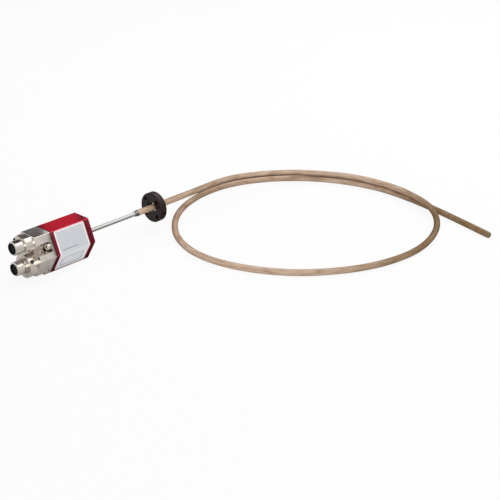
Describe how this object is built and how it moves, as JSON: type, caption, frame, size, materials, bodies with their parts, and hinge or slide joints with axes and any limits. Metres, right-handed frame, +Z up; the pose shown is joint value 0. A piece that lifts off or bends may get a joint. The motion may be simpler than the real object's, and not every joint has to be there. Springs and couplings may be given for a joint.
{
  "type": "linear position sensor",
  "caption": "Position sensor with a six-sided red head, round data ports on a cast block, a thin rod, a looped flexible measuring tube and a sliding ring magnet.",
  "frame": {"origin": "on the rod's axis, in the plane of the end cap's outer face", "axes": "+X along the rod, away from the head; +Z up, from the head's narrow base to its top"},
  "size_m": [0.4423, 0.3127, 0.0457],
  "materials": {
    "nickel_casting": "satin nickel-plated die casting",
    "red_anodised": "satin red anodised extrusion",
    "plain_foil": "satin silver-grey foil",
    "black_moulding": "moulded",
    "gold_contact": "gold flashed",
    "black_rubber": "moulded",
    "lamp_lens": "clear dark lens",
    "bright_steel": "bright drawn",
    "magnet_compound": "pressed plastic-bonded ferrite",
    "tan_braid": "braided",
    "shield_steel": "drawn",
    "brass_anchor": "turned",
    "copper_winding": "enamelled wire",
    "white_plastic": "moulded",
    "bias_ferrite": "sintered",
    "board_laminate": "solder-masked laminate",
    "chip_package": "moulded"
  },
  "bodies": {
    "head": {"connector_block": "nickel_casting", "housing_sleeve": "red_anodised", "end_cap": "red_anodised", "nameplate_foil": "plain_foil", "upper_socket_insert": "black_moulding", "lower_socket_insert": "black_moulding", "supply_port_insert": "black_moulding", "socket_contacts": "gold_contact", "supply_pins": "gold_contact", "socket_seals": "black_rubber", "block_gasket": "black_rubber", "end_gasket": "black_rubber", "damping_sleeve": "black_rubber", "status_lamp_lens": "lamp_lens", "tie_screws": "bright_steel", "rod_tube": "bright_steel", "rod_ferrule": "bright_steel", "rod_bush": "bright_steel", "sealing_washers": "bright_steel", "end_plug": "bright_steel", "flexible_tube": "tan_braid", "pickup_can": "shield_steel", "waveguide_wire": "shield_steel", "waveguide_anchor": "brass_anchor", "pickup_coil": "copper_winding", "waveguide_liner": "white_plastic", "coil_bobbin": "white_plastic", "bias_magnet": "bias_ferrite", "interface_board": "board_laminate", "main_circuit_board": "board_laminate", "board_chips": "chip_package", "board_header": "chip_package"},
    "magnet": {"ring_magnet": "magnet_compound"}
  },
  "joints": [
    {"name": "magnet_slide", "type": "slide", "parent": "head", "child": "magnet", "axis": [1, 0, 0], "range_m": [-0.0915, 0.08]}
  ]
}
